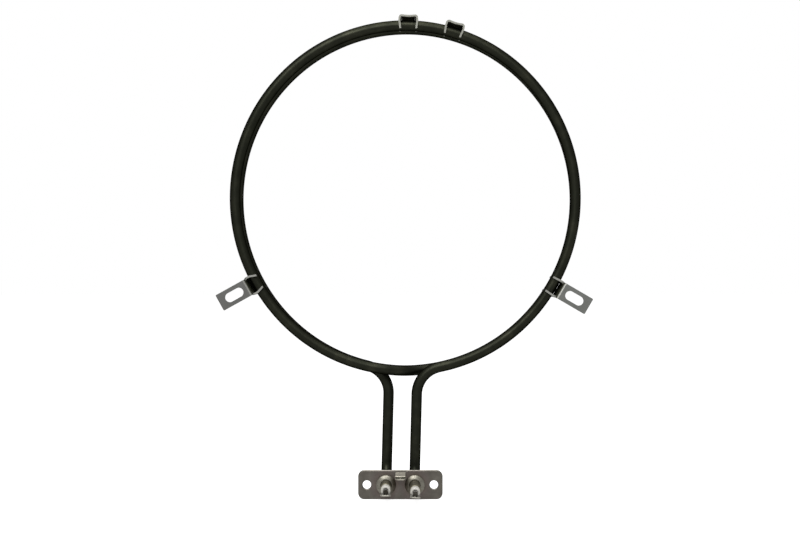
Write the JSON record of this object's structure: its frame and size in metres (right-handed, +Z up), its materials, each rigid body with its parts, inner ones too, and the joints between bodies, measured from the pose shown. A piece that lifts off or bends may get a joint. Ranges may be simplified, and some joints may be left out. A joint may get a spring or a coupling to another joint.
{
  "type": "ring heating element",
  "caption": "Two-turn ring heating element for a fan oven: swaged rod on a screw flange with push-on terminals, tie clips and slotted side brackets.",
  "frame": {"origin": "middle of the flange plate's terminal-side face, which is the middle between its two screw holes", "axes": "+Z up from the flange towards the rings, -Y the way the terminals point, +X to the right seen from the terminals"},
  "size_m": [0.2389, 0.0677, 0.3057],
  "materials": {
    "oxidised_sheath": "dark olive-black oxidised nickel-alloy sheath, satin",
    "flange_steel": "stamped stainless sheet with a faint heat tint round the brazed rods",
    "pin_steel": "drawn steel pin, satin",
    "silicone": "cured silicone sealing plug",
    "white_ceramic": "unglazed white steatite",
    "blade_steel": "nickel-plated steel blade",
    "collar_steel": "turned stainless, lightly heat-tinted",
    "braze": "silver-bronze braze fillet",
    "bracket_steel": "folded stainless sheet, satin"
  },
  "bodies": {
    "root": {"heating_rod": "oxidised_sheath", "flange_plate": "flange_steel", "cold_pin_left": "pin_steel", "end_seal_left": "silicone", "ceramic_bead_left": "white_ceramic", "terminal_blade_left": "blade_steel", "collar_left": "collar_steel", "braze_ring_left": "braze", "cold_pin_right": "pin_steel", "end_seal_right": "silicone", "ceramic_bead_right": "white_ceramic", "terminal_blade_right": "blade_steel", "collar_right": "collar_steel", "braze_ring_right": "braze", "earth_tab": "blade_steel", "bracket_left": "bracket_steel", "bracket_right": "bracket_steel", "tie_clip_top": "bracket_steel", "tie_clip_upper_right": "bracket_steel"}
  },
  "joints": []
}
